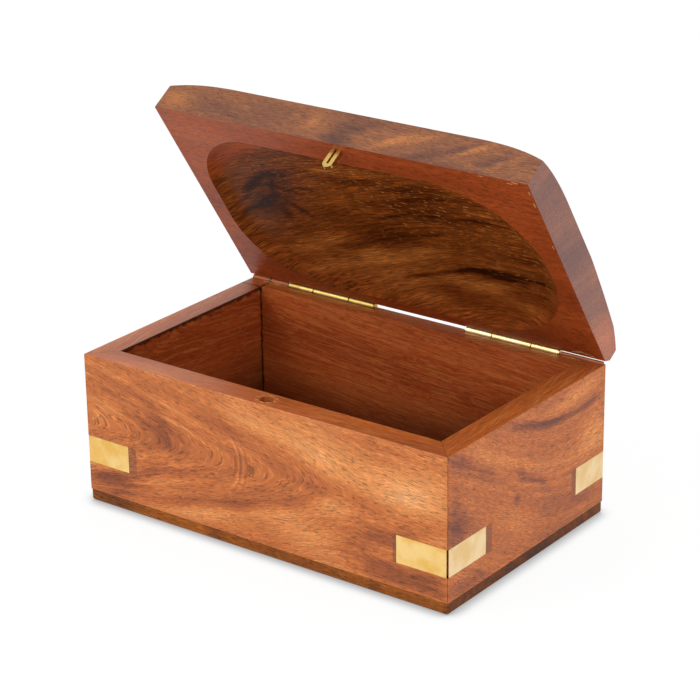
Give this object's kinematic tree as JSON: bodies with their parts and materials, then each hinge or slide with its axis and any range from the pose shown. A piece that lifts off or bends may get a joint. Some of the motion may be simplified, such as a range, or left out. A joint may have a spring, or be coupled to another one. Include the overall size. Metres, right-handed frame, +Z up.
{
  "type": "hinged wooden box",
  "caption": "Hinged wooden box with mitred walls, a thick lid with a dished underside, brass barrel hinges, brass corner inlays and a loop catch.",
  "frame": {"origin": "centre of the base board's underside, where the box stands", "axes": "+X along the front to the right, +Y from the front to the hinges, +Z up; the lid stands open at rest"},
  "size_m": [0.1528, 0.1016, 0.1401],
  "materials": {
    "front_wood": "orange-brown hardwood, satin oil finish",
    "side_wood": "brown hardwood with darker streaks, satin oil finish",
    "back_wood": "red-brown hardwood, satin oil finish",
    "base_wood": "dark brown hardwood, satin oil finish",
    "lid_wood": "brown hardwood with dark figure, satin oil finish",
    "filler_wood": "dark wood filler, sanded flush",
    "inlay_brass": "brushed and slightly tarnished",
    "hinge_brass": "bright brass",
    "screw_brass": "bright brass",
    "catch_brass": "bright brass"
  },
  "bodies": {
    "box": {"front_wall": "front_wood", "right_wall": "side_wood", "back_wall": "back_wood", "left_wall": "side_wood", "base_board": "base_wood", "brass_inlay_front_left": "inlay_brass", "brass_inlay_front_right": "inlay_brass", "brass_inlay_right_front": "inlay_brass", "brass_inlay_right_back": "inlay_brass", "brass_inlay_back_right": "inlay_brass", "brass_inlay_back_left": "inlay_brass", "brass_inlay_left_back": "inlay_brass", "brass_inlay_left_front": "inlay_brass", "inlay_filler_strips": "filler_wood", "left_hinge_box_leaf": "hinge_brass", "right_hinge_box_leaf": "hinge_brass", "left_hinge_pin": "hinge_brass", "right_hinge_pin": "hinge_brass", "box_leaf_screws": "screw_brass"},
    "lid": {"lid": "lid_wood", "left_hinge_lid_leaf": "hinge_brass", "right_hinge_lid_leaf": "hinge_brass", "lid_leaf_screws": "screw_brass", "lid_catch": "catch_brass"}
  },
  "joints": [
    {"name": "lid_hinge", "type": "hinge", "parent": "box", "child": "lid", "pos_m": [0, 0.04625, 0.05545], "axis": [-1, 0, 0], "range_deg": [-56.7, 38.3]}
  ]
}
